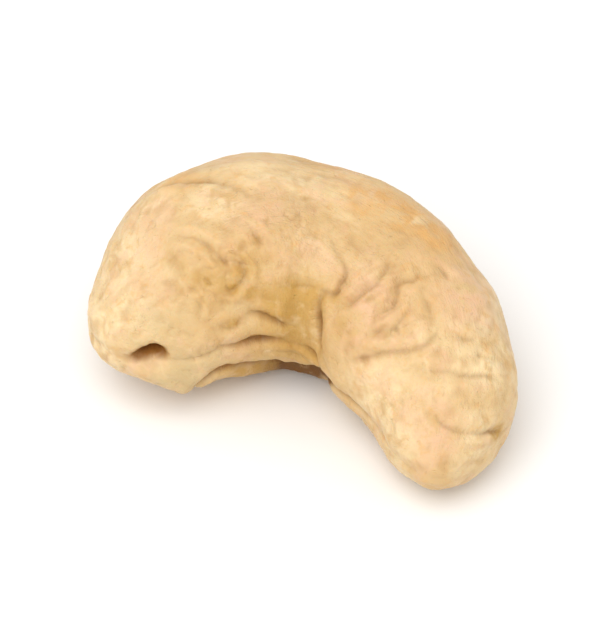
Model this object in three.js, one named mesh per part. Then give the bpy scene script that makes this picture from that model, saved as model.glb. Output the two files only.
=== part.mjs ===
import * as THREE from 'three';

// One whole shelled cashew kernel, lying on one flank.
// Millimetres, +Z up. +X runs along the length, from the thick end that holds the seed root to the slim tip.
// +Y points to the back of the bend, so the hollow of the bend opens towards -Y.
// The skin is a rounded section swept along a middle line that bends in the ground plane. A place on the skin
// is given as its share of the middle line, from 0 at the thick end to 1 at the tip, and as degrees round it:
// 0 is the back of the bend, 90 the upper flank, 180 the hollow side and 270 the flank it lies on.

// Middle line
const LINE_LENGTH = 32;
const START_HEADING = 83.7;
const TOTAL_TURN = 139;
const BEND_PLACE = 0.452;
const BEND_SPREAD = 0.144;
const LINE_STEPS = 400;

// Section: half widths at even steps along the line, thickness against width, and how square its corners are
const HALF_WIDTHS = [4.95, 6.17, 5.78, 4.95, 3.38];
const THICKNESS_TO_WIDTH = 0.92;
const SQUARENESS = 2.2;

// Rounded ends: how far each reaches, how blunt it is and how far its point leans to the back
const THICK_END = { reach: 7.86, bluntness: 1.81, lean: 0 };
const TIP_END = { reach: 5.03, bluntness: 1.83, lean: -0.52 };

// Swells (+) and hollows (-) of the side that faces the hollow and of the back: place and reach along the line,
// and height
const INNER_SIDE_SWELLS = [
  { place: 0.088, reach: 0.04, height: 0.55 },
  { place: 0.226, reach: 0.083, height: -0.63 },
  { place: 0.706, reach: 0.082, height: 0.51 },
  { place: 0.858, reach: 0.055, height: -0.44 },
];
const BACK_SIDE_SWELLS = [
  { place: 0.2, reach: 0.1, height: -0.14 },
  { place: 0.642, reach: 0.077, height: -0.45 },
];

// The kernel lies on three low spots, under the thick end, the bend and the slim limb, and arches between them
const FIRST_SPOT = 0.15;
const SPOT_SPACING = 0.35;
const ARCH_HEIGHT = 0.3;
const SPOT_DEPTH = 0.15;

// Slow unevenness of the skin: height, and the wave along X, Y and Z in radians per millimetre
const WAVES = [
  { height: 0.07, along: [0.55, 0.75, 0.3], start: 0.6 },
  { height: 0.045, along: [-1.05, 0.5, 0.7], start: 2.1 },
  { height: 0.03, along: [0.7, -1.3, 1.5], start: 4.0 },
];

// Lines in the skin. Each has a half width, a raised lip beside it, and a path of [share, degrees, depth].
// A share below 0 or above 1 has gone over the end and comes back on the other side.
const LINES = {
  seamOfHollow: {
    halfWidth: 0.45,
    lip: 0.16,
    path: [
      [-0.14, 182, 0.1], [-0.05, 181, 0.16], [0.03, 177, 0.16], [0.08, 177, 0.18], [0.13, 175, 0.28],
      [0.19, 181, 0.44], [0.25, 185, 0.62], [0.32, 188, 0.52], [0.42, 188, 0.34], [0.53, 188, 0.34],
      [0.6, 192, 0.44], [0.67, 197, 0.38], [0.77, 194, 0.24], [0.9, 183, 0.16], [1.0, 180, 0.12],
      [1.1, 180, 0.08],
    ],
  },
  seamOfBack: {
    halfWidth: 0.4,
    lip: 0.22,
    path: [
      [0.08, 1, 0.05], [0.18, 5, 0.12], [0.32, 7, 0.15], [0.48, 3, 0.14], [0.62, -3, 0.14],
      [0.78, -4, 0.12], [0.92, 0, 0.05],
    ],
  },
  notchAboveRoot: {
    halfWidth: 0.52,
    lip: 0.1,
    path: [[0.008, 172, 0.2], [0.016, 164, 0.75], [0.027, 158, 1.1], [0.036, 161, 1.05], [0.042, 169, 0.4]],
  },
  seedRoot: {
    halfWidth: 1.15,
    lip: 0,
    path: [
      [0.005, 186, 0], [0.022, 194, -0.28], [0.045, 204, -0.45], [0.072, 216, -0.55], [0.095, 226, -0.55],
      [0.112, 233, -0.1],
    ],
  },
  beakOfRoot: {
    halfWidth: 0.42,
    lip: 0.08,
    path: [
      [0.098, 240, 0.1], [0.106, 226, 0.5], [0.111, 213, 0.56], [0.127, 204, 0.5], [0.155, 201, 0.4],
      [0.2, 203, 0.1],
    ],
  },
  upperFold: {
    halfWidth: 0.48,
    lip: 0.18,
    path: [[0.215, 157, 0.04], [0.248, 163, 0.4], [0.3, 170, 0.5], [0.365, 174, 0.45], [0.43, 175, 0.04]],
  },
  lowerFold: {
    halfWidth: 0.5,
    lip: 0.16,
    path: [
      [0.15, 201, 0.04], [0.21, 205, 0.34], [0.28, 212, 0.48], [0.35, 218, 0.58], [0.43, 218, 0.66],
      [0.51, 215, 0.64], [0.59, 210, 0.55], [0.64, 203, 0.45], [0.69, 197, 0.3], [0.73, 194, 0.04],
    ],
  },
  rimUnderLowerFold: {
    halfWidth: 0.9,
    lip: 0,
    path: [
      [0.17, 216, 0], [0.23, 222, -0.2], [0.3, 226, -0.3], [0.38, 228, -0.34], [0.46, 228, -0.34],
      [0.54, 225, -0.3], [0.6, 219, -0.2], [0.65, 211, 0],
    ],
  },
  foldAcrossBend: {
    halfWidth: 0.45,
    lip: 0.25,
    path: [
      [0.572, 142, 0.04], [0.584, 149, 0.36], [0.6, 156, 0.5], [0.616, 163, 0.44], [0.63, 172, 0.26],
      [0.638, 181, 0.04],
    ],
  },
  hookAboveBend: {
    halfWidth: 0.45,
    lip: 0.2,
    path: [
      [0.53, 141, 0.04], [0.565, 142, 0.26], [0.6, 140, 0.42], [0.622, 133, 0.4], [0.615, 126, 0.28],
      [0.6, 121, 0.04],
    ],
  },
  firstLimbWrinkle: {
    halfWidth: 0.42,
    lip: 0.3,
    path: [
      [0.622, 150, 0.03], [0.65, 142, 0.2], [0.671, 134, 0.28], [0.67, 127, 0.28], [0.669, 120, 0.24],
      [0.676, 115, 0.16], [0.69, 111, 0.03],
    ],
  },
  secondLimbWrinkle: {
    halfWidth: 0.42,
    lip: 0.3,
    path: [
      [0.69, 102, 0.03], [0.711, 105, 0.26], [0.724, 109, 0.3], [0.733, 114, 0.28], [0.732, 120, 0.24],
      [0.727, 127, 0.16], [0.72, 133, 0.03],
    ],
  },
  thirdLimbWrinkle: {
    halfWidth: 0.42,
    lip: 0.25,
    path: [
      [0.71, 96, 0.03], [0.742, 101, 0.2], [0.759, 108, 0.24], [0.772, 114, 0.24], [0.789, 113, 0.16],
      [0.8, 109, 0.03],
    ],
  },
  fourthLimbWrinkle: {
    halfWidth: 0.42,
    lip: 0.25,
    path: [[0.715, 85, 0.03], [0.742, 88, 0.2], [0.766, 91, 0.22], [0.788, 92, 0.16], [0.8, 92, 0.03]],
  },
  longLimbWrinkle: {
    halfWidth: 0.45,
    lip: 0.35,
    path: [
      [0.765, 157, 0.03], [0.779, 148, 0.28], [0.794, 138, 0.32], [0.803, 127, 0.28], [0.814, 114, 0.24],
      [0.822, 99, 0.2], [0.822, 85, 0.03],
    ],
  },
  lowLimbWrinkle: {
    halfWidth: 0.42,
    lip: 0.25,
    path: [
      [0.795, 147, 0.03], [0.815, 139, 0.13], [0.834, 129, 0.18], [0.852, 114, 0.18], [0.861, 95, 0.16],
      [0.868, 70, 0.16], [0.868, 46, 0.03],
    ],
  },
  creaseNearTip: {
    halfWidth: 0.42,
    lip: 0.2,
    path: [
      [0.93, 106, 0.03], [0.947, 86, 0.18], [0.951, 66, 0.17], [0.948, 46, 0.22], [0.935, 22, 0.3],
      [0.912, 0, 0.05],
    ],
  },
  lineOfUpperFlank: {
    halfWidth: 0.45,
    lip: 0.25,
    path: [[0.19, 46, 0.03], [0.225, 58, 0.18], [0.255, 69, 0.2], [0.29, 78, 0.16], [0.335, 92, 0.03]],
  },
  troughOfThickEnd: {
    halfWidth: 1.0,
    lip: 0,
    path: [[0.15, 88, 0.03], [0.138, 104, 0.12], [0.111, 117, 0.15], [0.08, 125, 0.12], [0.055, 137, 0.03]],
  },
};
const LINE_SAMPLES = 60;
const LIP_PLACE = 2;

// Mesh: rings along the line, and points round each ring, closest on the side that faces the hollow.
// Each stretch goes on from the last one's end, in degrees, and the first starts beside the seam of the back.
const RINGS = 83;
const FIRST_POINT = -12;
const STRETCHES_ROUND = [
  { end: 12, steps: 8 },
  { end: 75, steps: 7 },
  { end: 130, steps: 11 },
  { end: 225, steps: 34 },
  { end: 250, steps: 4 },
  { end: 348, steps: 8 },
];

const KERNEL_COLOUR = '#f0cb96';
const KERNEL_ROUGHNESS = 0.55;

const radians = THREE.MathUtils.degToRad;

// Smooth curve through evenly spaced values
function through(values, share) {
  const last = values.length - 1;
  const place = THREE.MathUtils.clamp(share, 0, 1) * last;
  const left = Math.min(Math.floor(place), last - 1);
  const u = place - left;
  const a = values[Math.max(left - 1, 0)];
  const b = values[left];
  const c = values[left + 1];
  const d = values[Math.min(left + 2, last)];
  const slope = (c - a) * u;
  const bend = (2 * a - 5 * b + 4 * c - d) * u * u;
  const twist = (3 * b - a - 3 * c + d) * u * u * u;
  return 0.5 * (2 * b + slope + bend + twist);
}

function bell(distance, reach) {
  return Math.exp(-((distance / reach) ** 2));
}

function heightOfSwells(swells, share) {
  return swells.reduce((height, swell) => height + swell.height * bell(share - swell.place, swell.reach), 0);
}

// Direction of the middle line: it turns mostly at the bend, and hardly in the limbs
function heading(share) {
  const turned = (s) => 1 / (1 + Math.exp((BEND_PLACE - s) / BEND_SPREAD));
  const part = (turned(share) - turned(0)) / (turned(1) - turned(0));
  return radians(START_HEADING - TOTAL_TURN * part);
}

function makeMiddleLine() {
  const step = LINE_LENGTH / LINE_STEPS;
  const points = [new THREE.Vector2(0, 0)];
  for (let i = 1; i <= LINE_STEPS; i += 1) {
    const direction = heading((i - 0.5) / LINE_STEPS);
    const move = new THREE.Vector2(Math.cos(direction), Math.sin(direction)).multiplyScalar(step);
    points.push(points[i - 1].clone().add(move));
  }
  return points;
}

const MIDDLE_LINE = makeMiddleLine();

function middleAt(share) {
  const place = THREE.MathUtils.clamp(share, 0, 1) * LINE_STEPS;
  const left = Math.min(Math.floor(place), LINE_STEPS - 1);
  return MIDDLE_LINE[left].clone().lerp(MIDDLE_LINE[left + 1], place - left);
}

// How far into a rounded end a place is: 0 where the end begins, 1 at its point
function intoEnd(end, distance) {
  return THREE.MathUtils.clamp(1 - distance / end.reach, 0, 1);
}

// The plain skin, with neither lines nor unevenness
function skin(share, degrees) {
  if (share < 0) {
    return skin(-share, degrees + 180);
  }
  if (share > 1) {
    return skin(2 - share, degrees + 180);
  }
  const thick = intoEnd(THICK_END, share * LINE_LENGTH);
  const tip = intoEnd(TIP_END, (1 - share) * LINE_LENGTH);
  const thickSize = Math.sqrt(1 - thick ** THICK_END.bluntness);
  const tipSize = Math.sqrt(1 - tip ** TIP_END.bluntness);
  const size = thickSize * tipSize;
  const halfWidth = through(HALF_WIDTHS, share);
  const halfThickness = halfWidth * THICKNESS_TO_WIDTH;

  const across = Math.cos(radians(degrees));
  const up = Math.sin(radians(degrees));
  const power = Math.abs(across) ** SQUARENESS + Math.abs(up) ** SQUARENESS;
  const fullness = power ** (-1 / SQUARENESS);
  const innerSwell = Math.max(-across, 0) ** 2 * heightOfSwells(INNER_SIDE_SWELLS, share);
  const backSwell = Math.max(across, 0) ** 2 * heightOfSwells(BACK_SIDE_SWELLS, share);
  const lean = THICK_END.lean * thick ** 2 + TIP_END.lean * tip ** 2;
  const sideways = lean + (halfWidth * fullness * across + backSwell - innerSwell) * size;
  const arch = ARCH_HEIGHT * Math.sin((Math.PI * (share - FIRST_SPOT)) / SPOT_SPACING) ** 2;
  const height = halfThickness * (1 + fullness * up * size) + arch;

  const middle = middleAt(share);
  const direction = heading(share);
  return new THREE.Vector3(
    middle.x - Math.sin(direction) * sideways,
    middle.y + Math.cos(direction) * sideways,
    height,
  );
}

// Outward direction of the plain skin
function outward(share, degrees) {
  const nudge = 0.002;
  const inside = THREE.MathUtils.clamp(share, 2 * nudge, 1 - 2 * nudge);
  const along = skin(inside + nudge, degrees).sub(skin(inside - nudge, degrees));
  const round = skin(inside, degrees + 1).sub(skin(inside, degrees - 1));
  return round.cross(along).normalize();
}

// A line of the skin as points in space, each with its depth
function layOut(line) {
  const shares = line.path.map((entry) => entry[0]);
  const angles = line.path.map((entry) => entry[1]);
  const depths = line.path.map((entry) => entry[2]);
  const points = [];
  for (let i = 0; i <= LINE_SAMPLES; i += 1) {
    const part = i / LINE_SAMPLES;
    points.push({ at: skin(through(shares, part), through(angles, part)), depth: through(depths, part) });
  }
  return points;
}

const LAID_OUT_LINES = Object.values(LINES).map((line) => ({ ...line, points: layOut(line) }));

// What one line adds to the skin at a point: down in its middle, up along its lips
function lineHeight(line, point) {
  const segment = new THREE.Line3();
  const nearest = new THREE.Vector3();
  let best = Infinity;
  let depth = 0;
  for (let i = 1; i < line.points.length; i += 1) {
    const from = line.points[i - 1];
    const to = line.points[i];
    segment.set(from.at, to.at);
    const part = segment.closestPointToPointParameter(point, true);
    const distance = segment.at(part, nearest).distanceTo(point);
    if (distance < best) {
      best = distance;
      depth = THREE.MathUtils.lerp(from.depth, to.depth, part);
    }
  }
  const lip = line.lip * bell(best - LIP_PLACE * line.halfWidth, line.halfWidth);
  return depth * (lip - bell(best, line.halfWidth));
}

function unevenness(point) {
  let height = 0;
  for (const wave of WAVES) {
    height += wave.height * Math.sin(point.dot(new THREE.Vector3(...wave.along)) + wave.start);
  }
  return height;
}

// The finished skin: lines and unevenness added, and the three low spots flat
function finishedSkin(share, degrees) {
  const point = skin(share, degrees);
  let height = unevenness(point);
  for (const line of LAID_OUT_LINES) {
    height += lineHeight(line, point);
  }
  point.addScaledVector(outward(share, degrees), height);
  point.z = Math.max(point.z - SPOT_DEPTH, 0);
  return point;
}

function ringShare(ring) {
  return 0.5 - 0.5 * Math.cos((Math.PI * ring) / RINGS);
}

function anglesRound() {
  const angles = [];
  let start = FIRST_POINT;
  for (const { end, steps } of STRETCHES_ROUND) {
    for (let i = 0; i < steps; i += 1) {
      angles.push(start + ((end - start) * i) / steps);
    }
    start = end;
  }
  return angles;
}

// Rings of points from end to end, closed with one point at each end. Each four-sided patch is split along
// its shorter diagonal, which follows the folds.
function makeKernelGeometry() {
  const points = [finishedSkin(0, 0)];
  const triangles = [];
  const angles = anglesRound();
  const index = (ring, point) => 1 + (ring - 1) * angles.length + (point % angles.length);

  for (let ring = 1; ring < RINGS; ring += 1) {
    for (const angle of angles) {
      points.push(finishedSkin(ringShare(ring), angle));
    }
  }
  points.push(finishedSkin(1, 0));
  const tip = points.length - 1;

  for (let point = 0; point < angles.length; point += 1) {
    triangles.push(0, index(1, point + 1), index(1, point));
    for (let ring = 1; ring < RINGS - 1; ring += 1) {
      const near = index(ring, point);
      const nearNext = index(ring, point + 1);
      const far = index(ring + 1, point);
      const farNext = index(ring + 1, point + 1);
      if (points[nearNext].distanceTo(points[far]) < points[near].distanceTo(points[farNext])) {
        triangles.push(near, nearNext, far, nearNext, farNext, far);
      } else {
        triangles.push(near, nearNext, farNext, near, farNext, far);
      }
    }
    triangles.push(tip, index(RINGS - 1, point), index(RINGS - 1, point + 1));
  }

  const geometry = new THREE.BufferGeometry().setFromPoints(points);
  geometry.setIndex(triangles);
  geometry.computeBoundingBox();
  const middle = geometry.boundingBox.getCenter(new THREE.Vector3());
  geometry.translate(-middle.x, -middle.y, 0);
  geometry.computeVertexNormals();
  return geometry;
}

const skinMaterial = new THREE.MeshStandardMaterial({
  color: KERNEL_COLOUR,
  roughness: KERNEL_ROUGHNESS,
  metalness: 0,
});
const kernel = new THREE.Mesh(makeKernelGeometry(), skinMaterial);
kernel.name = 'cashew_kernel';

const cashew = new THREE.Group();
cashew.add(kernel);

export default cashew;
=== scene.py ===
import math

import bpy
import numpy as np
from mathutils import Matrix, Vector, noise


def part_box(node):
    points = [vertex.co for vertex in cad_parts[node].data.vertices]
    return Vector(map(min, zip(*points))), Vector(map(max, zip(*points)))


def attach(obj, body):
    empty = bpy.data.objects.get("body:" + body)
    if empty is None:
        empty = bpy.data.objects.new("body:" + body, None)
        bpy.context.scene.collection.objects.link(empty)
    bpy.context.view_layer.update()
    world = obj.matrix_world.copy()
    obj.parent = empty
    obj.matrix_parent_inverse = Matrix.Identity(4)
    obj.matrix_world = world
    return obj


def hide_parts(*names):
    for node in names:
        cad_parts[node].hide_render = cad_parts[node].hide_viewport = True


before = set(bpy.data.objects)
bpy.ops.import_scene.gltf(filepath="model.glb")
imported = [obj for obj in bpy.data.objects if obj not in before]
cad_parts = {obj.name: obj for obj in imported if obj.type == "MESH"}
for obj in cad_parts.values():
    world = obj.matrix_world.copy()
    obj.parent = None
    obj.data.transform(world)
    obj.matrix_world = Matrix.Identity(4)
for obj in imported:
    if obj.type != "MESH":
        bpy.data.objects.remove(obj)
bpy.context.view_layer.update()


# The kernel
# One whole cashew seed: two waxy seed leaves pressed flat together, with the small seed root tucked between
# them at the thick end. It grew into this kidney shape, wrinkled as it dried, and was blanched out of its
# brown inner skin. It lies loose, on one flank.

# Its body is a rounded section swept along a middle line, all in millimetres. A place on the skin is a share
# of that line, from the thick end to the tip, and degrees round it: 0 is the back of the bend, 90 the upper
# flank, 180 the side that faces the hollow and 270 the flank it lies on.
LINE_LENGTH = 32.0
START_HEADING = 83.7
TOTAL_TURN = 139.0
BEND_PLACE = 0.452
BEND_SPREAD = 0.144
LINE_STEPS = 400
# Half widths at even steps along the line, how thick it is against its width, and how square its corners are
HALF_WIDTHS = (4.95, 6.17, 5.78, 4.95, 3.38)
THICKNESS_TO_WIDTH = 0.92
SQUARENESS = 2.2
# The round ends: how far each reaches along the line, how blunt it is, and how far it leans to the back
THICK_END = {"reach": 7.86, "bluntness": 1.81, "lean": 0.0}
TIP_END = {"reach": 5.03, "bluntness": 1.83, "lean": -0.52}
# Swells, or hollows where the height is below zero: the share of the line where each is, and its reach there
INNER_SIDE_SWELLS = (
    {"place": 0.088, "reach": 0.04, "height": 0.55},
    {"place": 0.226, "reach": 0.083, "height": -0.63},
    {"place": 0.706, "reach": 0.082, "height": 0.51},
    {"place": 0.858, "reach": 0.055, "height": -0.44},
)
BACK_SIDE_SWELLS = (
    {"place": 0.2, "reach": 0.1, "height": -0.14},
    {"place": 0.642, "reach": 0.077, "height": -0.45},
)
# It rests on three low spots, evenly spaced along the line and pressed a little flat, and arches between them
FIRST_SPOT = 0.15
SPOT_SPACING = 0.35
SPOT_DEPTH = 0.15
ARCH_HEIGHT = 0.3
# Small steps along and round the skin, in shares and degrees, that show which way it faces
STEP_ALONG = 0.002
STEP_ROUND = 1


def through(values, share):
    """Smooth curve through evenly spaced values."""
    values = np.asarray(values, float)
    last = len(values) - 1
    place = np.clip(share, 0, 1) * last
    left = np.minimum(np.floor(place).astype(int), last - 1)
    u = place - left
    a = values[np.maximum(left - 1, 0)]
    b = values[left]
    c = values[left + 1]
    d = values[np.minimum(left + 2, last)]
    slope = (c - a) * u
    bend = (2 * a - 5 * b + 4 * c - d) * u**2
    twist = (3 * b - a - 3 * c + d) * u**3
    return 0.5 * (2 * b + slope + bend + twist)


def bell(distance, reach):
    """1 in the middle, fading smoothly to almost nothing at twice the reach."""
    return np.exp(-((distance / reach) ** 2))


def heading(share):
    """Direction of the middle line: it turns mostly at the bend, and hardly in the limbs."""
    def turned(s):
        return 1 / (1 + np.exp((BEND_PLACE - s) / BEND_SPREAD))

    part = (turned(share) - turned(0)) / (turned(1) - turned(0))
    return np.radians(START_HEADING - TOTAL_TURN * part)


def swelling(swells, share):
    """How far some swells lift one side of the section at a share of the line."""
    return sum(swell["height"] * bell(share - swell["place"], swell["reach"]) for swell in swells)


step_headings = heading((np.arange(LINE_STEPS) + 0.5) / LINE_STEPS)
line_steps = np.stack([np.cos(step_headings), np.sin(step_headings)]) * LINE_LENGTH / LINE_STEPS
middle_line = np.concatenate([np.zeros((2, 1)), np.cumsum(line_steps, axis=1)], axis=1)
line_shares = np.linspace(0, 1, LINE_STEPS + 1)


def unbent(share, degrees):
    """The plain skin as if the middle line were straight: along it, across it and up, in millimetres."""
    thick = np.clip(1 - share * LINE_LENGTH / THICK_END["reach"], 0, 1)
    tip = np.clip(1 - (1 - share) * LINE_LENGTH / TIP_END["reach"], 0, 1)
    size = np.sqrt(1 - thick ** THICK_END["bluntness"]) * np.sqrt(1 - tip ** TIP_END["bluntness"])
    half_width = through(HALF_WIDTHS, share)
    across = np.cos(np.radians(degrees))
    up = np.sin(np.radians(degrees))
    fullness = (np.abs(across) ** SQUARENESS + np.abs(up) ** SQUARENESS) ** (-1 / SQUARENESS)
    inner_swell = np.maximum(-across, 0) ** 2 * swelling(INNER_SIDE_SWELLS, share)
    back_swell = np.maximum(across, 0) ** 2 * swelling(BACK_SIDE_SWELLS, share)
    lean = THICK_END["lean"] * thick**2 + TIP_END["lean"] * tip**2
    sideways = lean + (half_width * fullness * across + back_swell - inner_swell) * size
    arch = ARCH_HEIGHT * np.sin(np.pi * (share - FIRST_SPOT) / SPOT_SPACING) ** 2
    height = half_width * THICKNESS_TO_WIDTH * (1 + fullness * up * size) + arch
    return np.stack([share * LINE_LENGTH, sideways, height], axis=-1)


def skin(share, degrees):
    """The plain skin in millimetres. A share past an end comes back on the other side."""
    share, degrees = np.broadcast_arrays(np.asarray(share, float), np.asarray(degrees, float))
    over = (share < 0) | (share > 1)
    degrees = np.where(over, degrees + 180, degrees)
    share = np.where(share < 0, -share, np.where(share > 1, 2 - share, share))
    _, sideways, height = np.moveaxis(unbent(share, degrees), -1, 0)
    direction = heading(share)
    x = np.interp(share, line_shares, middle_line[0]) - np.sin(direction) * sideways
    y = np.interp(share, line_shares, middle_line[1]) + np.cos(direction) * sideways
    return np.stack([x, y, height], axis=-1)


def outward(share, degrees):
    """The direction that the plain skin faces."""
    inside = np.clip(share, 2 * STEP_ALONG, 1 - 2 * STEP_ALONG)
    along = skin(inside + STEP_ALONG, degrees) - skin(inside - STEP_ALONG, degrees)
    around = skin(inside, degrees + STEP_ROUND) - skin(inside, degrees - STEP_ROUND)
    normal = np.cross(around, along)
    return normal / np.linalg.norm(normal, axis=-1, keepdims=True)


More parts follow.
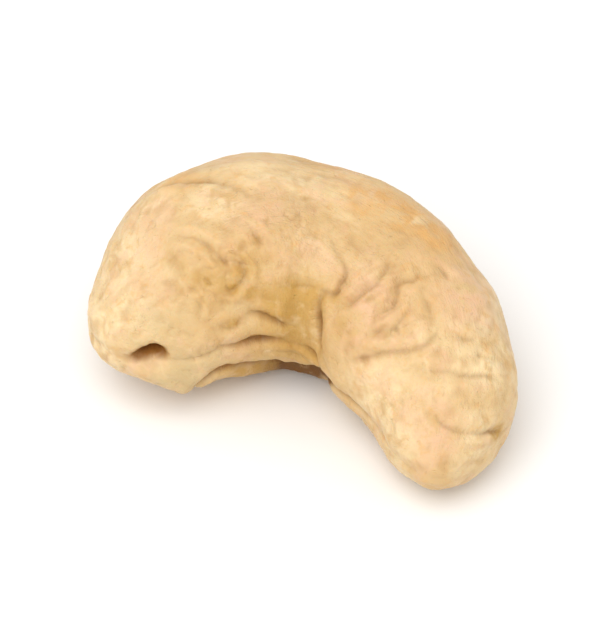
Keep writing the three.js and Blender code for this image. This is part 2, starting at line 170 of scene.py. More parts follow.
# Its seam is where the edges of the two seed leaves meet. The root is a small nub under a deep notch, with
# its beak pointing into the bend. The folds and wrinkles formed as it dried. Each path holds a share of the
# middle line, degrees round it and a depth, which is below zero for a ridge.
LINES = (
    # The seam and the root
    {"name": "seam of the hollow", "half_width": 0.4, "lip": 0.16, "skew": 0.1, "path": (
        (-0.14, 182, 0.08), (-0.05, 181, 0.14), (0.03, 177, 0.14), (0.08, 177, 0.14), (0.13, 175, 0.16),
        (0.19, 181, 0.3), (0.25, 185, 0.58), (0.31, 188, 0.32), (0.42, 188, 0.14), (0.53, 188, 0.16),
        (0.6, 192, 0.38), (0.67, 197, 0.36), (0.77, 194, 0.2), (0.9, 183, 0.12), (1.0, 180, 0.08),
        (1.1, 180, 0.06))},
    {"name": "seam of the back", "half_width": 0.34, "lip": 0.25, "skew": 0, "path": (
        (0.08, 1, 0.04), (0.18, 5, 0.1), (0.32, 7, 0.13), (0.48, 3, 0.12), (0.62, -3, 0.12),
        (0.78, -4, 0.1), (0.92, 0, 0.04))},
    {"name": "notch above the root", "half_width": 0.52, "lip": 0.06, "skew": -0.25, "path": (
        (0.008, 172, 0.2), (0.016, 164, 0.95), (0.027, 158, 1.4), (0.036, 160, 1.4), (0.042, 169, 0.6))},
    {"name": "seed root", "half_width": 1.15, "lip": 0, "skew": 0, "path": (
        (0.005, 186, 0), (0.022, 194, -0.28), (0.045, 204, -0.45), (0.072, 216, -0.55), (0.095, 226, -0.55),
        (0.112, 233, -0.1))},
    {"name": "beak of the root", "half_width": 0.36, "lip": 0.08, "skew": 0.3, "path": (
        (0.098, 240, 0.1), (0.106, 226, 0.5), (0.111, 213, 0.58), (0.127, 204, 0.5), (0.155, 201, 0.4),
        (0.2, 203, 0.1))},
    # The folds of the hollow and of the bend
    {"name": "upper fold", "half_width": 0.4, "lip": 0.25, "skew": -0.2, "path": (
        (0.215, 159, 0.02), (0.248, 165, 0.3), (0.3, 171, 0.34), (0.365, 174, 0.3), (0.43, 175, 0.04))},
    {"name": "rim under the lower fold", "half_width": 0.9, "lip": 0, "skew": 0, "path": (
        (0.17, 216, 0), (0.23, 222, -0.2), (0.3, 226, -0.3), (0.38, 228, -0.34), (0.46, 228, -0.34),
        (0.54, 225, -0.3), (0.6, 219, -0.2), (0.65, 211, 0))},
    {"name": "lower fold", "half_width": 0.5, "lip": 0.16, "skew": -0.2, "path": (
        (0.15, 201, 0.03), (0.21, 205, 0.34), (0.28, 212, 0.48), (0.35, 218, 0.6), (0.43, 218, 0.7),
        (0.51, 215, 0.68), (0.59, 210, 0.55), (0.64, 203, 0.45), (0.69, 197, 0.3), (0.73, 194, 0.02))},
    {"name": "fold across the bend", "half_width": 0.38, "lip": 0.25, "skew": 0.2, "path": (
        (0.572, 142, 0.03), (0.584, 149, 0.32), (0.6, 156, 0.42), (0.616, 163, 0.4), (0.63, 172, 0.28),
        (0.638, 181, 0.03))},
    {"name": "hook above the bend", "half_width": 0.34, "lip": 0.25, "skew": -0.2, "path": (
        (0.55, 141, 0.02), (0.585, 141, 0.2), (0.616, 138, 0.38), (0.613, 133, 0.26), (0.607, 129, 0.3),
        (0.592, 124, 0.22), (0.56, 119, 0.14), (0.526, 115, 0.12), (0.506, 108, 0.02))},
    # The wrinkles of the slim limb
    {"name": "first limb wrinkle", "half_width": 0.34, "lip": 0.35, "skew": 0, "path": (
        (0.635, 148, 0.02), (0.65, 142, 0.14), (0.676, 133, 0.19), (0.674, 124, 0.21), (0.672, 115, 0.18),
        (0.656, 105, 0.2), (0.64, 98, 0.02))},
    {"name": "second limb wrinkle", "half_width": 0.34, "lip": 0.35, "skew": 0, "path": (
        (0.682, 84, 0.02), (0.7, 93, 0.2), (0.695, 102, 0.2), (0.712, 106, 0.24), (0.73, 111, 0.23),
        (0.736, 118, 0.18), (0.731, 125, 0.02))},
    {"name": "third limb wrinkle", "half_width": 0.32, "lip": 0.3, "skew": 0, "path": (
        (0.71, 97, 0.02), (0.742, 102, 0.2), (0.757, 109, 0.22), (0.77, 115, 0.22), (0.788, 114, 0.14),
        (0.8, 109, 0.02))},
    {"name": "fourth limb wrinkle", "half_width": 0.32, "lip": 0.3, "skew": 0, "path": (
        (0.712, 88, 0.02), (0.728, 91, 0.12), (0.745, 91, 0.16), (0.763, 91, 0.16), (0.779, 90, 0.1),
        (0.79, 89, 0.02))},
    {"name": "short limb wrinkle", "half_width": 0.28, "lip": 0.35, "skew": 0, "path": (
        (0.757, 133, 0.02), (0.765, 126, 0.2), (0.77, 119, 0.16), (0.775, 114, 0.02))},
    {"name": "long limb wrinkle", "half_width": 0.4, "lip": 0.4, "skew": -0.2, "path": (
        (0.765, 157, 0.02), (0.781, 147, 0.22), (0.794, 140, 0.22), (0.806, 126, 0.24), (0.82, 110, 0.22),
        (0.817, 99, 0.2), (0.806, 92, 0.16), (0.793, 90, 0.02))},
    {"name": "low limb wrinkle", "half_width": 0.36, "lip": 0.25, "skew": 0, "path": (
        (0.82, 136, 0.02), (0.835, 126, 0.12), (0.849, 115, 0.14), (0.864, 98, 0.14), (0.867, 85, 0.15),
        (0.874, 73, 0.18), (0.872, 53, 0.2), (0.868, 38, 0.02))},
    {"name": "dimple of the limb", "half_width": 0.36, "lip": 0.4, "skew": 0, "path": (
        (0.69, 73, 0.02), (0.702, 72, 0.22), (0.716, 73, 0.02))},
    {"name": "short wrinkle of the limb's back", "half_width": 0.3, "lip": 0.4, "skew": 0, "path": (
        (0.806, 79, 0.02), (0.812, 73, 0.17), (0.817, 66, 0.17), (0.818, 60, 0.02))},
    {"name": "pit of the limb", "half_width": 0.3, "lip": 0.4, "skew": 0, "path": (
        (0.834, 62, 0.02), (0.84, 60, 0.2), (0.846, 59, 0.02))},
    # Small wrinkles of the thick end and round the hollow
    {"name": "curl of the flank", "half_width": 0.28, "lip": 0.7, "skew": 0, "path": (
        (0.2, 125, 0.02), (0.224, 128, 0.14), (0.24, 133, 0.22), (0.238, 138, 0.22), (0.216, 142, 0.18),
        (0.195, 142, 0.24), (0.184, 137, 0.02))},
    {"name": "dimple of the flank", "half_width": 0.3, "lip": 0.5, "skew": 0, "path": (
        (0.15, 121, 0.02), (0.159, 127, 0.19), (0.166, 133, 0.02))},
    {"name": "small curl of the flank", "half_width": 0.22, "lip": 0.5, "skew": 0, "path": (
        (0.126, 118, 0.02), (0.129, 123, 0.14), (0.134, 126, 0.16), (0.141, 124, 0.02))},
    {"name": "short wrinkle of the flank", "half_width": 0.24, "lip": 0.5, "skew": 0, "path": (
        (0.123, 130, 0.02), (0.124, 137, 0.16), (0.112, 144, 0.02))},
    {"name": "faint wrinkle of the flank", "half_width": 0.28, "lip": 0.6, "skew": 0, "path": (
        (0.165, 88, 0.02), (0.176, 96, 0.12), (0.19, 104, 0.17), (0.198, 115, 0.2), (0.206, 125, 0.22),
        (0.214, 130, 0.02))},
    {"name": "nick of the flank", "half_width": 0.28, "lip": 0.5, "skew": 0, "path": (
        (0.298, 113, 0.02), (0.302, 120, 0.22), (0.316, 126, 0.02))},
    {"name": "wrinkle above the hollow", "half_width": 0.28, "lip": 0.4, "skew": 0, "path": (
        (0.138, 154, 0.02), (0.158, 162, 0.14), (0.178, 166, 0.16), (0.205, 166, 0.02))},
    {"name": "wrinkle under the seam", "half_width": 0.24, "lip": 0.6, "skew": 0, "path": (
        (0.29, 197, 0.02), (0.35, 199, 0.1), (0.43, 197, 0.12), (0.5, 199, 0.12), (0.56, 204, 0.02))},
    {"name": "edge of the hollow", "half_width": 0.34, "lip": 0.5, "skew": 0, "path": (
        (0.35, 150, 0.02), (0.4, 147, 0.1), (0.46, 145, 0.14), (0.52, 142, 0.14), (0.56, 141, 0.02))},
    # The crease of the tip, and soft lines of the upper flank
    {"name": "crease near the tip", "half_width": 0.36, "lip": 0.2, "skew": 0.2, "path": (
        (0.924, 104, 0.02), (0.938, 99, 0.13), (0.952, 84, 0.18), (0.956, 62, 0.14), (0.95, 41, 0.18),
        (0.935, 22, 0.3), (0.912, 0, 0.04))},
    {"name": "line of the upper flank", "half_width": 0.42, "lip": 0.25, "skew": 0.3, "path": (
        (0.2, 46, 0.02), (0.226, 56, 0.18), (0.24, 63, 0.13), (0.255, 69, 0.2), (0.277, 76, 0.2),
        (0.298, 83, 0.12), (0.315, 91, 0.12), (0.33, 96, 0.02))},
    {"name": "trough of the thick end", "half_width": 1.0, "lip": 0, "skew": 0, "path": (
        (0.15, 88, 0.02), (0.137, 98, 0.1), (0.136, 108, 0.1), (0.112, 114, 0.09), (0.085, 116, 0.06),
        (0.055, 126, 0.02))},
    {"name": "low ridge of the thick end", "half_width": 0.34, "lip": 0, "skew": 0, "path": (
        (0.148, 118, 0), (0.138, 121, -0.08), (0.114, 123, -0.09), (0.088, 128, -0.09), (0.066, 137, 0))},
    # The wrinkles of the underside
    {"name": "long wrinkle under the limb", "half_width": 0.4, "lip": 0.35, "skew": 0.2, "path": (
        (0.66, 232, 0.02), (0.69, 240, 0.18), (0.72, 249, 0.27), (0.745, 260, 0.25), (0.76, 273, 0.16),
        (0.765, 288, 0.02))},
    {"name": "short wrinkle under the limb", "half_width": 0.34, "lip": 0.3, "skew": 0, "path": (
        (0.735, 226, 0.02), (0.76, 234, 0.18), (0.778, 243, 0.23), (0.785, 252, 0.16), (0.782, 262, 0.02))},
    {"name": "branch under the limb", "half_width": 0.32, "lip": 0.3, "skew": 0, "path": (
        (0.69, 252, 0.02), (0.675, 260, 0.16), (0.668, 270, 0.18), (0.675, 280, 0.02))},
    {"name": "wrinkle under the bend", "half_width": 0.38, "lip": 0.3, "skew": -0.2, "path": (
        (0.53, 236, 0.02), (0.54, 246, 0.2), (0.556, 256, 0.25), (0.58, 265, 0.18), (0.6, 276, 0.02))},
    {"name": "curl under the bend", "half_width": 0.34, "lip": 0.35, "skew": 0, "path": (
        (0.42, 240, 0.02), (0.405, 250, 0.2), (0.382, 258, 0.24), (0.355, 262, 0.18), (0.33, 260, 0.02))},
    {"name": "wrinkle under the thick end", "half_width": 0.4, "lip": 0.3, "skew": 0.2, "path": (
        (0.28, 238, 0.02), (0.265, 250, 0.16), (0.24, 262, 0.2), (0.22, 276, 0.16), (0.205, 292, 0.02))},
    {"name": "hook under the thick end", "half_width": 0.32, "lip": 0.3, "skew": 0, "path": (
        (0.2, 236, 0.02), (0.185, 244, 0.16), (0.165, 250, 0.2), (0.145, 248, 0.14), (0.132, 242, 0.02))},
    {"name": "line of the lower flank", "half_width": 0.42, "lip": 0.25, "skew": 0.2, "path": (
        (0.3, 300, 0.02), (0.36, 306, 0.13), (0.43, 310, 0.16), (0.5, 311, 0.13), (0.57, 308, 0.02))},
    {"name": "crease under the tip", "half_width": 0.34, "lip": 0.25, "skew": 0.2, "path": (
        (0.9, 236, 0.02), (0.915, 250, 0.13), (0.925, 266, 0.17), (0.93, 284, 0.13), (0.93, 300, 0.02))},
)
LINE_SAMPLES = 60
# Where the raised lips of a line are, and how far it reaches at all, in its half widths
LIP_PLACE = 2
LINE_REACH = 4
# How quickly a skewed line changes from its narrow side to its wide one
SKEW_CHANGE = 2
# The sharp crease in the bottom of a line: its share of the depth, its width and how it falls off
SHARP_SHARE = 0.45
SHARP_WIDTH = 0.36
SHARP_FALL = 1.3
# Slow and quick wander of the lines, with a seed, because this noise otherwise starts from the clock
WANDER = ({"by": 0.1, "stretch": 0.75}, {"by": 0.06, "stretch": 2.6})
WANDER_SEED = 3


def wander(places):
    """Moves places a little, and always the same way, so that the folds aren't drawn with a ruler."""
    noise.seed_set(WANDER_SEED)
    moved = places.copy()
    for step in WANDER:
        moved += step["by"] * np.array([noise.noise_vector(spot) for spot in places * step["stretch"]])
    return moved


def line_height(line, places, facing_out):
    """What one line adds to the skin: a round valley with a sharp crease in it, and lips along its sides."""
    shares, angles, depths = np.array(line["path"]).T
    parts = np.linspace(0, 1, LINE_SAMPLES + 1)
    course = skin(through(shares, parts), through(angles, parts))
    course_depths = through(depths, parts)
    half_width = line["half_width"]
    margin = LINE_REACH * half_width
    near = np.all((places > course.min(0) - margin) & (places < course.max(0) + margin), axis=-1)
    spots = places[near]
    best = np.full(len(spots), np.inf)
    side = np.zeros(len(spots))
    depth = np.zeros(len(spots))
    for i in range(LINE_SAMPLES):
        run = course[i + 1] - course[i]
        part = np.clip((spots - course[i]) @ run / (run @ run), 0, 1)
        offset = spots - course[i] - part[:, None] * run
        distance = np.linalg.norm(offset, axis=-1)
        closer = distance < best
        best[closer] = distance[closer]
        across = np.sum(np.cross(facing_out[near], run / np.linalg.norm(run)) * offset, axis=-1)
        side[closer] = across[closer]
        here = course_depths[i] + part * (course_depths[i + 1] - course_depths[i])
        depth[closer] = here[closer]
    width = half_width * (1 + line["skew"] * np.tanh(SKEW_CHANGE * side / half_width))
    lip = line["lip"] * bell(best - LIP_PLACE * width, width)
    sharp = np.exp(-((best / (SHARP_WIDTH * width)) ** SHARP_FALL))
    valley = (1 - SHARP_SHARE) * bell(best, width) + SHARP_SHARE * sharp
    if depths.min() < 0:
        valley = bell(best, width)
    height = np.zeros(len(places))
    height[near] = depth * (lip - valley)
    return height


# Its fine relief comes from uneven drying: slow waves and dents, fine streaks that follow the bend, pebbling,
# and thin wrinkles that wind over the flank. The waves run along x, y and z, in radians for each millimetre.
WAVES = (
    {"height": 0.07, "along": (0.55, 0.75, 0.3), "start": 0.6},
    {"height": 0.045, "along": (-1.05, 0.5, 0.7), "start": 2.1},
    {"height": 0.03, "along": (0.7, -1.3, 1.5), "start": 4.0},
)
DENTS = {"height": 0.13, "stretch": (0.3, 0.36, 0.36), "octaves": 3}
STREAKS = {"height": 0.045, "stretch": (0.4, 1.5, 1.5), "octaves": 2}
PEBBLES = {"height": 0.03, "stretch": (1.5, 1.5, 1.5), "octaves": 2}
# Winding wrinkles are the same all over, or deepest at one area: its share and degrees, and its reach in each
WINDING_WRINKLES = (
    {"depth": 0.02, "stretch": (0.5, 0.6, 0.6), "width": 0.13, "area": None},
    {"depth": 0.045, "stretch": (0.8, 0.4, 0.4), "width": 0.15, "area": (0.7, 115, 0.1, 30)},
    {"depth": 0.07, "stretch": (0.6, 0.6, 0.6), "width": 0.13, "area": (0.2, 128, 0.1, 22)},
    {"depth": 0.05, "stretch": (0.8, 0.8, 0.8), "width": 0.15, "area": (0.38, 112, 0.12, 25)},
)
WINDING_OCTAVES = 2
WINDING_SHIFT = 7.3
# How quickly the finer octaves fade, and how much finer each octave is than the one before
RELIEF_FADE = 1.0
WINDING_FADE = 0.8
OCTAVE_STEP = 2.0
# Inside the bend, where the fine relief would be squeezed into bands across it, most of it fades
CALM_AREA = (0.46, 178, 0.14, 42)
CALM_PART = 0.85


def relief(field, places):
    """Cloudy relief over places in millimetres, stretched as the field says."""
    spots = places * np.array(field["stretch"])
    values = [noise.fractal(spot, RELIEF_FADE, OCTAVE_STEP, field["octaves"]) for spot in spots]
    return field["height"] * np.array(values)


def within(area, shares, angles):
    """1 in the middle of an area of the skin, fading out past its reaches."""
    share, degrees, reach_along, reach_round = area
    return bell(shares - share, reach_along) * bell(angles - degrees, reach_round)


def winding(field, places, shares, angles):
    """Thin grooves that wind where a cloudy field passes through zero."""
    spots = places * np.array(field["stretch"]) + WINDING_SHIFT
    values = [noise.fractal(spot, WINDING_FADE, OCTAVE_STEP, WINDING_OCTAVES) for spot in spots]
    grooves = -field["depth"] * bell(np.array(values), field["width"])
    if field["area"]:
        grooves *= within(field["area"], shares, angles)
    return grooves


# Its mesh has rings along the middle line, closer at both ends. The points of a ring lie in stretches, each
# with an end in degrees round it, and are closest where the seams, the folds and the wrinkles are.
MM = 0.001
RINGS = 396
FIRST_DEGREES = -12
STRETCHES_ROUND = (
    {"end": 12, "steps": 20},
    {"end": 75, "steps": 40},
    {"end": 215, "steps": 130},
    {"end": 285, "steps": 34},
    {"end": 348, "steps": 26},
)
round_angles = []
from_degrees = FIRST_DEGREES
for stretch in STRETCHES_ROUND:
    round_angles.append(np.linspace(from_degrees, stretch["end"], stretch["steps"], endpoint=False))
    from_degrees = stretch["end"]
round_angles = np.concatenate(round_angles)
points_round = len(round_angles)
ring_shares = 0.5 - 0.5 * np.cos(np.pi * np.arange(1, RINGS) / RINGS)

shares, angles = np.meshgrid(ring_shares, round_angles, indexing="ij")
shares = np.concatenate([[0], shares.ravel(), [1]])
angles = np.concatenate([[0], angles.ravel(), [0]])
plain = skin(shares, angles)
straight = unbent(shares, angles)
facing_out = outward(shares, angles)

moved = wander(plain)
line_heights = {line["name"]: line_height(line, moved, facing_out) for line in LINES}
line_total = sum(line_heights.values())
waves = sum(wave["height"] * np.sin(plain @ np.array(wave["along"]) + wave["start"]) for wave in WAVES)
small = relief(STREAKS, straight) + relief(PEBBLES, plain)
small += sum(winding(field, straight, shares, angles) for field in WINDING_WRINKLES)
kept = 1 - CALM_PART * within(CALM_AREA, shares, angles)
small *= kept
dents = relief(DENTS, straight) * kept
points = plain + facing_out * (line_total + waves + dents + small)[:, None]
points[:, 2] = np.maximum(points[:, 2] - SPOT_DEPTH, 0)

cad_low, cad_high = (np.array(corner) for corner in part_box("cashew_kernel"))
points *= MM
middle = (points.min(0) + points.max(0)) / 2
points[:, :2] += (cad_low[:2] + cad_high[:2]) / 2 - middle[:2]

faces = []
thick_point = 0
tip_point = len(points) - 1
first_ring = 1
last_ring = first_ring + (RINGS - 2) * points_round
for j in range(points_round):
    k = (j + 1) % points_round
    faces.append((thick_point, first_ring + k, first_ring + j))
    faces.append((tip_point, last_ring + j, last_ring + k))
    for ring in range(first_ring, last_ring, points_round):
        next_ring = ring + points_round
        faces.append((ring + j, ring + k, next_ring + k, next_ring + j))

kernel_mesh = bpy.data.meshes.new("kernel_skin")
kernel_mesh.from_pydata(points.tolist(), [], faces)
kernel_mesh.polygons.foreach_set("use_smooth", [True] * len(faces))
kernel = bpy.data.objects.new("kernel_skin", kernel_mesh)
bpy.context.scene.collection.objects.link(kernel)


# Its colour and gloss: waxy cream to tan, with rosy and ochre patches where it dried or was rubbed, pale
# patches that are partly painted light on its shaded edges, tan and olive partly painted shade round the
# hollow, painted shade in the creases and fine wrinkles, brown that is partly painted shade in the notch, and
# dark painted shade deep in the hollow under the lower fold
def srgb(red, green, blue):
    """A colour as seen on a screen, 0 to 255, as linear light."""
    parts = [((c / 255 + 0.055) / 1.055) ** 2.4 for c in (red, green, blue)]
    return (*parts, 1)


# Pale, partly the kernel's own tone and partly painted light
PALE_AND_LIGHT = srgb(228, 203, 158)
CREAM = srgb(219, 191, 144)
TAN = srgb(204, 169, 117)
ROSY = srgb(219, 177, 140)
OCHRE = srgb(212, 164, 100)
# Olive, partly the kernel's own tone and partly painted shade in and under the hollow
OLIVE_AND_SHADE = srgb(190, 149, 78)
# Tan painted shade in the fine wrinkles and pits
WRINKLE_SHADE = srgb(177, 134, 79)
# Brown painted shade in the folds, seams and creases
CREASE_SHADE = srgb(144, 98, 37)
# Brown of the notch: partly inner skin left in it and partly painted shade
NOTCH_SKIN_AND_SHADE = srgb(140, 85, 30)
DULL_BEIGE = srgb(198, 172, 124)
SPECK_BROWN = srgb(150, 102, 50)
# Dark brown of painted shade deep in the hollow, under the lower fold
DEEP_SHADE_BROWN = srgb(110, 69, 5)
# Depths where the painted shade of creases, fine wrinkles and lower fold and the notch's brown start, and how
# much deeper each is full
CREASE_SHADE_DEPTHS = (0.05, 0.34)
WRINKLE_SHADE_DEPTHS = (0.01, 0.09)
NOTCH_DEPTHS = (0.225, 0.9)
DEEP_SHADE_DEPTHS = (0, 0.3)
# The share of the middle line where the painted shade under the lower fold lies, and its reach along it
DEEP_SHADE_PLACE = 0.46
DEEP_SHADE_REACH = 0.13
# The share and degrees of each spot or patch, its reach in millimetres and its strength
# Spots of dark painted shade at the foot of the hollow's wall, where the seam turns under the limb
DEEP_SHADE_SPOTS = ((0.595, 213, 0.4, 1.2), (0.63, 206, 0.35, 0.9), (0.668, 200, 0.45, 1.5))
PATCHES = {
    # Pale patches: partly the kernel's own tone, partly painted light on the shaded back edge, tip and band
    # under the seam
    "pale": ((0.04, 80, 2.6, 0.7), (0.09, 60, 2.8, 0.7), (0.85, 158, 2.2, 0.8), (0.93, 150, 2.0, 0.6),
             (0.8, 15, 3.0, 0.6), (0.7, 15, 3.0, 0.6), (0.01, 20, 3.0, 0.7), (0.47, 122, 1.6, 0.3),
             (0.95, 35, 1.6, 0.8), (0.29, 194, 0.7, 0.6), (0.19, 62, 1.8, 0.6), (0.256, 90, 1.8, 0.6),
             (0.35, 80, 1.6, 0.6), (0.41, 84, 1.6, 0.6), (0.79, 53, 1.4, 0.6), (0.86, 55, 1.6, 0.6),
             (0.265, 203, 0.6, 0.5)),
    # Tan patches: mostly the kernel's own tone; those on the limb's inner edge by the hollow are painted
    # shade
    "tan": ((0.11, 132, 2.5, 0.9), (0.16, 115, 2.5, 0.7), (0.3, 110, 3.0, 0.7), (0.26, 140, 2.5, 0.8),
            (0.74, 106, 2.2, 0.8), (0.8, 196, 1.6, 0.9), (0.87, 190, 1.6, 0.6), (0.8, 122, 1.8, 0.9),
            (0.84, 100, 1.6, 0.8), (0.07, 160, 1.5, 0.7), (0.055, 132, 1.6, 1.0), (0.08, 112, 1.6, 0.7),
            (0.1, 146, 1.6, 0.8), (0.7, 145, 1.3, 1.0), (0.65, 135, 1.2, 0.6), (0.75, 160, 1.2, 0.9),
            (0.6, 127, 1.2, 0.9), (0.54, 108, 1.6, 1.0), (0.97, 132, 1.2, 0.6), (0.02, 92, 1.4, 0.8),
            (0.03, 119, 1.4, 0.9), (0.692, 149, 1.2, 0.9), (0.79, 139, 1.4, 0.7), (0.784, 105, 1.2, 0.9),
            (0.0, 140, 1.6, 0.6)),
    "dull": ((0.075, 200, 1.8, 0.6), (0.045, 208, 1.5, 0.5), (0.065, 182, 1.3, 0.5), (0.066, 130, 1.8, 0.4),
             (0.02, 150, 1.4, 0.4)),
    "rosy": ((0.69, 124, 1.6, 0.9), (0.72, 138, 1.5, 0.7), (0.743, 62, 1.6, 0.8), (0.33, 112, 2.2, 0.4),
             (0.95, 104, 1.2, 0.8), (0.13, 84, 1.5, 0.4), (0.018, 184, 0.7, 1.0)),
    "ochre": ((0.52, 72, 1.4, 0.9), (0.57, 69, 1.5, 1.0), (0.63, 60, 1.5, 0.9), (0.24, 58, 1.2, 0.5),
              (0.45, 40, 2.0, 0.6), (0.28, 30, 1.5, 0.6), (0.4, 186, 0.7, 0.8), (0.47, 187, 0.8, 0.9),
              (0.53, 188, 0.6, 0.7)),
    # Olive patches: partly the kernel's own tone, partly painted shade on the hollow's wall, under its rim
    # and at the tip
    "olive_and_shade": ((0.3, 154, 1.4, 0.5), (0.43, 153, 1.5, 0.7), (0.54, 149, 1.2, 0.7), (0.36, 163, 1.6, 0.7),
              (0.49, 163, 1.7, 0.6), (0.46, 180, 2.6, 0.6), (0.36, 192, 2.2, 0.5), (0.56, 192, 1.8, 0.6),
              (0.24, 203, 0.8, 0.4), (0.16, 200, 1.0, 0.5), (0.18, 136, 1.6, 0.4), (0.26, 132, 1.6, 0.4),
              (0.24, 150, 0.6, 0.7), (0.295, 156, 0.6, 0.8), (0.37, 158, 0.6, 0.8), (0.42, 147, 0.5, 0.4),
              (0.2, 214, 0.8, 0.8), (0.26, 220, 0.8, 0.8), (0.32, 224, 0.8, 0.8), (0.925, 13, 0.5, 1.2),
              (0.22, 134, 0.7, 0.5), (0.15, 122, 0.6, 0.5), (0.245, 183, 0.4, 1.2), (0.28, 185, 0.4, 1.2),
              (0.13, 199, 0.5, 0.6), (0.42, 199, 0.5, 0.5), (0.63, 141, 0.8, 0.4), (0.655, 136, 0.7, 0.35),
              (0.7, 146, 0.9, 0.4), (0.14, 101, 0.5, 0.25), (0.14, 110, 0.6, 0.3), (0.197, 142, 0.4, 0.9),
              (0.158, 128, 0.35, 0.7), (0.308, 121, 0.3, 0.25), (0.175, 162, 0.5, 0.6)),
}


def paint(name, values):
    """Keeps a value for each point of the skin, for the material to read."""
    layer = kernel_mesh.attributes.new(name, "FLOAT", "POINT")
    layer.data.foreach_set("value", np.asarray(values, np.float32))


def patch(spots):
    """The strongest of some soft spots on the skin."""
    strongest = np.zeros(len(plain))
    for share, degrees, reach, strength in spots:
        distance = np.linalg.norm(plain - skin(share, degrees), axis=-1)
        strongest = np.maximum(strongest, strength * bell(distance, reach))
    return strongest


def deepening(depth, start, more):
    """From 0 at a starting depth to 1 where it is so much deeper."""
    return np.clip((depth - start) / more, 0, 1)


# Painted shade in the folds and seams, darker the deeper the skin lies in them
paint("crease", deepening(-line_total, *CREASE_SHADE_DEPTHS))
# Painted shade in the fine wrinkles and pits, darker where the fine relief is deeper
paint("low", deepening(-small, *WRINKLE_SHADE_DEPTHS))
# Brown in the notch, partly inner skin left in it and partly painted shade, darker the deeper it goes
paint("notch", deepening(-line_heights["notch above the root"], *NOTCH_DEPTHS))
# Painted shade deep in the hollow: dark where the rim stands out past the lower fold, with darker spots
under_fold = line_heights["rim under the lower fold"] - line_heights["lower fold"]
deep_shade = deepening(under_fold, *DEEP_SHADE_DEPTHS) * bell(shares - DEEP_SHADE_PLACE, DEEP_SHADE_REACH)
paint("deep_shade", np.clip(deep_shade + patch(DEEP_SHADE_SPOTS), 0, 1))
for name, spots in PATCHES.items():
    paint(name, patch(spots))
for name, places in (("straight", straight), ("place", plain)):
    layer = kernel_mesh.attributes.new(name, "FLOAT_VECTOR", "POINT")
    layer.data.foreach_set("vector", places.astype(np.float32).ravel())

# Cloudy fields of its material: how often each repeats in a millimetre along, across and up, its octaves, and
# the values between which it rises from 0 to 1. Fields that are stretched follow the bend.
TAN_CLOUDS = {"stretch": (0.25, 0.25, 0.25), "detail": 4, "low": 0.3, "high": 0.56}
ROSY_CLOUDS = {"stretch": (0.55, 0.55, 0.55), "detail": 3, "low": 0.5, "high": 0.68}
OCHRE_FLECKS = {"stretch": (1.6, 1.6, 1.6), "detail": 5, "low": 0.52, "high": 0.74}
BROWN_SPECKS = {"stretch": (2.8, 2.8, 2.8), "detail": 2, "low": 0.68, "high": 0.8}
PATCH_EDGE = {"stretch": (0.9, 0.9, 0.9), "detail": 5, "low": 0.3, "high": 0.62}
OLIVE_AND_SHADE_EDGE = {"stretch": (1.3, 1.3, 1.3), "detail": 4, "low": 0.15, "high": 0.55}
DEEP_SHADE_EDGE = {"stretch": (1.6, 1.6, 1.6), "detail": 3, "low": 0.1, "high": 0.45}
GLOSS_CLOUDS = {"stretch": (1.2, 2.0, 2.0), "detail": 3, "low": 0.3, "high": 0.7}
VEIN_AREAS = {"stretch": (0.3, 0.3, 0.3), "detail": 2, "low": 0.3, "high": 0.65}
VEINS = {"stretch": (0.7, 5.0, 5.0), "detail": 3, "low": 0.2, "high": 0.8}
GRAIN = {"stretch": (4.0, 6.0, 6.0), "detail": 4, "low": 0.2, "high": 0.8}
PORES = {"stretch": (2.4, 2.4, 2.4), "detail": 3, "low": 0.24, "high": 0.4}
CLOUD_TWIST = 0.7
# How strongly a broken patch shows before its edge is taken off, and how strongly the fainter tints show
PATCH_GAIN = 1.7
ROSY_CLOUD_STRENGTH = 0.4
ROSY_PATCH_STRENGTH = 0.8
FLECK_STRENGTH = 0.5
SPECK_STRENGTH = 0.4
WRINKLE_SHADE_STRENGTH = 0.7
# Roughness where the skin is waxiest and where it is driest
WAXY_ROUGHNESS = 0.42
DRY_ROUGHNESS = 0.62
# Depths of the finest relief, in millimetres
VEIN_DEPTH = 0.034
GRAIN_DEPTH = 0.02
PORE_DEPTH = 0.03
# Light that passes under the skin: its share, its red, green and blue against each other, and how far it goes
GLOW_SHARE = 0.25
GLOW_COLOURS = (1.0, 0.5, 0.22)
GLOW_REACH = 0.7
WAXY_IOR = 1.45

skin_material = bpy.data.materials.new("kernel_skin")
skin_material.use_nodes = True
nodes = skin_material.node_tree.nodes
links = skin_material.node_tree.links
shader = nodes["Principled BSDF"]


def set_socket(socket, value):
    """Gives a socket either another node's output or a plain value."""
    if isinstance(value, bpy.types.NodeSocket):
        links.new(value, socket)
    else:
        socket.default_value = value


def attribute(name, output="Fac"):
    """What the skin keeps for each of its points under a name."""
    node = nodes.new("ShaderNodeAttribute")
    node.attribute_name = name
    return node.outputs[output]


def clouds(places, stretch, detail, low, high):
    """Cloudy patches from 0 to 1, sharper as low and high come together."""
    moved = nodes.new("ShaderNodeVectorMath")
    moved.operation = "MULTIPLY"
    links.new(places, moved.inputs[0])
    moved.inputs[1].default_value = stretch
    cloud = nodes.new("ShaderNodeTexNoise")
    links.new(moved.outputs[0], cloud.inputs["Vector"])
    cloud.inputs["Scale"].default_value = 1
    cloud.inputs["Detail"].default_value = detail
    cloud.inputs["Distortion"].default_value = CLOUD_TWIST
    ramp = nodes.new("ShaderNodeMapRange")
    ramp.interpolation_type = "SMOOTHSTEP"
    links.new(cloud.outputs["Fac"], ramp.inputs["Value"])
    ramp.inputs["From Min"].default_value = low
    ramp.inputs["From Max"].default_value = high
    return ramp.outputs["Result"]


def times(first, second):
    """One amount times another, kept between 0 and 1."""
    node = nodes.new("ShaderNodeMath")
    node.operation = "MULTIPLY"
    node.use_clamp = True
    set_socket(node.inputs[0], first)
    set_socket(node.inputs[1], second)
    return node.outputs[0]


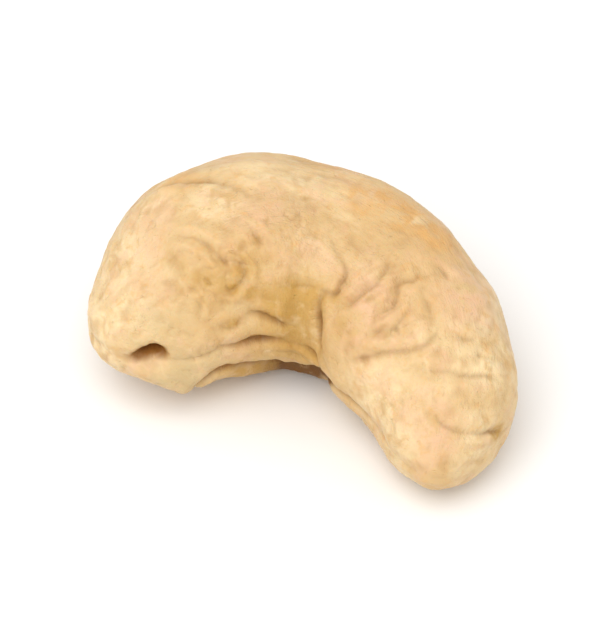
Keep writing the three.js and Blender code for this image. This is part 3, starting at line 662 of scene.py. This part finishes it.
def tint(under, over, amount):
    """Lays one colour over another."""
    node = nodes.new("ShaderNodeMix")
    node.data_type = "RGBA"
    for name, value in (("Factor_Float", amount), ("A_Color", under), ("B_Color", over)):
        set_socket(next(s for s in node.inputs if s.identifier == name), value)
    return next(s for s in node.outputs if s.identifier == "Result_Color")


def broken(name, edge):
    """A patch whose edge is broken up by clouds."""
    return times(times(attribute(name), PATCH_GAIN), edge)


along = attribute("straight", "Vector")
place = attribute("place", "Vector")
patch_edge = clouds(place, **PATCH_EDGE)
colour = tint(CREAM, TAN, clouds(place, **TAN_CLOUDS))
# Tan patches, partly painted shade on the limb's inner edge by the hollow
colour = tint(colour, TAN, broken("tan", patch_edge))
# Pale patches, partly painted light on the shaded back edge, the tip and the band under the seam
colour = tint(colour, PALE_AND_LIGHT, broken("pale", patch_edge))
colour = tint(colour, ROSY, times(clouds(place, **ROSY_CLOUDS), ROSY_CLOUD_STRENGTH))
colour = tint(colour, ROSY, times(broken("rosy", patch_edge), ROSY_PATCH_STRENGTH))
colour = tint(colour, OCHRE, times(clouds(place, **OCHRE_FLECKS), FLECK_STRENGTH))
colour = tint(colour, OCHRE, broken("ochre", patch_edge))
colour = tint(colour, SPECK_BROWN, times(clouds(place, **BROWN_SPECKS), SPECK_STRENGTH))
colour = tint(colour, DULL_BEIGE, broken("dull", patch_edge))
# Olive tone, partly painted shade in and under the hollow
colour = tint(colour, OLIVE_AND_SHADE, broken("olive_and_shade", clouds(place, **OLIVE_AND_SHADE_EDGE)))
# Tan painted shade in the fine wrinkles and pits
colour = tint(colour, WRINKLE_SHADE, times(attribute("low"), WRINKLE_SHADE_STRENGTH))
# Brown painted shade in the folds, seams and creases
colour = tint(colour, CREASE_SHADE, attribute("crease"))
# Brown in the notch, partly inner skin and partly painted shade
colour = tint(colour, NOTCH_SKIN_AND_SHADE, attribute("notch"))
# Dark painted shade under the lower fold and in the spots at the foot of the hollow
colour = tint(colour, DEEP_SHADE_BROWN, broken("deep_shade", clouds(place, **DEEP_SHADE_EDGE)))
links.new(colour, shader.inputs["Base Color"])

roughness = nodes.new("ShaderNodeMapRange")
links.new(clouds(along, **GLOSS_CLOUDS), roughness.inputs["Value"])
roughness.inputs["To Min"].default_value = WAXY_ROUGHNESS
roughness.inputs["To Max"].default_value = DRY_ROUGHNESS
links.new(roughness.outputs["Result"], shader.inputs["Roughness"])


def bump(height, distance, below=None):
    """Fine relief laid over the one below it."""
    node = nodes.new("ShaderNodeBump")
    node.inputs["Distance"].default_value = distance * MM
    links.new(height, node.inputs["Height"])
    if below:
        links.new(below, node.inputs["Normal"])
    return node.outputs["Normal"]


vein_areas = clouds(place, **VEIN_AREAS)
veins = bump(times(clouds(along, **VEINS), vein_areas), VEIN_DEPTH)
grain = bump(clouds(along, **GRAIN), GRAIN_DEPTH, veins)
pores = bump(clouds(place, **PORES), PORE_DEPTH, grain)
links.new(pores, shader.inputs["Normal"])
shader.inputs["Subsurface Weight"].default_value = GLOW_SHARE
shader.inputs["Subsurface Radius"].default_value = GLOW_COLOURS
shader.inputs["Subsurface Scale"].default_value = GLOW_REACH * MM
shader.inputs["IOR"].default_value = WAXY_IOR
kernel_mesh.materials.append(skin_material)
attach(kernel, "root")
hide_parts("cashew_kernel")


# The surface it lies on
# A plain white tabletop, smooth and matt, at the height of the kernel's three low spots. It is so wide that
# its edges never show.
FLOOR_SIZE = 1.2
FLOOR_WHITE = (0.86, 0.855, 0.85, 1)
FLOOR_ROUGHNESS = 0.8
bpy.ops.mesh.primitive_plane_add(size=FLOOR_SIZE)
floor = bpy.context.object
floor.name = "floor"
floor_material = bpy.data.materials.new("floor_white")
floor_material.use_nodes = True
floor_shader = floor_material.node_tree.nodes["Principled BSDF"]
floor_shader.inputs["Base Color"].default_value = FLOOR_WHITE
floor_shader.inputs["Roughness"].default_value = FLOOR_ROUGHNESS
floor.data.materials.append(floor_material)


# The camera
# It looks down at the kernel from in front of its hollow, turned and raised as for the photograph. The lens
# is long, so that the kernel shows almost without perspective.
VIEW_TURN = math.radians(31)
VIEW_RISE = math.radians(45)
VIEW_DISTANCE = 0.32
VIEW_TARGET = Vector((-0.0011, -0.00085, 0.0045))
LENS = 315
SENSOR = 36
scene = bpy.context.scene
towards_camera = Vector((
    math.sin(VIEW_TURN) * math.cos(VIEW_RISE),
    -math.cos(VIEW_TURN) * math.cos(VIEW_RISE),
    math.sin(VIEW_RISE),
))
camera_data = bpy.data.cameras.new("camera")
camera_data.lens = LENS
camera_data.sensor_width = SENSOR
camera = bpy.data.objects.new("camera", camera_data)
camera.location = VIEW_TARGET + towards_camera * VIEW_DISTANCE
camera.rotation_euler = towards_camera.to_track_quat("Z", "Y").to_euler()
scene.collection.objects.link(camera)
scene.camera = camera
scene.view_settings.view_transform = "Standard"


# The light
# Soft studio light: a pale surround that lights the kernel from all sides, and one large lamp above the
# camera and a little to its left, which gives the soft shadow.
SURROUND_COLOUR = (1, 0.99, 0.97, 1)
SURROUND_STRENGTH = 0.86
LAMP_DISTANCE = 0.4
LAMP_SIZE = 0.4
LAMP_POWER = 1.27
# The lamp's direction: how much of it is to the left, up and towards the camera
LAMP_LEFT = 0.25
LAMP_UP = 0.5
LAMP_FORWARD = 0.8
world = bpy.data.worlds.new("studio")
scene.world = world
world.use_nodes = True
surround = world.node_tree.nodes["Background"]
surround.inputs["Color"].default_value = SURROUND_COLOUR
surround.inputs["Strength"].default_value = SURROUND_STRENGTH

left = Vector((-math.cos(VIEW_TURN), -math.sin(VIEW_TURN), 0))
towards_lamp = left * LAMP_LEFT + Vector((0, 0, LAMP_UP)) + towards_camera * LAMP_FORWARD
lamp_data = bpy.data.lights.new("key", "AREA")
lamp_data.size = LAMP_SIZE
lamp_data.energy = LAMP_POWER
lamp = bpy.data.objects.new("key", lamp_data)
lamp.location = towards_lamp.normalized() * LAMP_DISTANCE
lamp.rotation_euler = towards_lamp.to_track_quat("Z", "Y").to_euler()
scene.collection.objects.link(lamp)
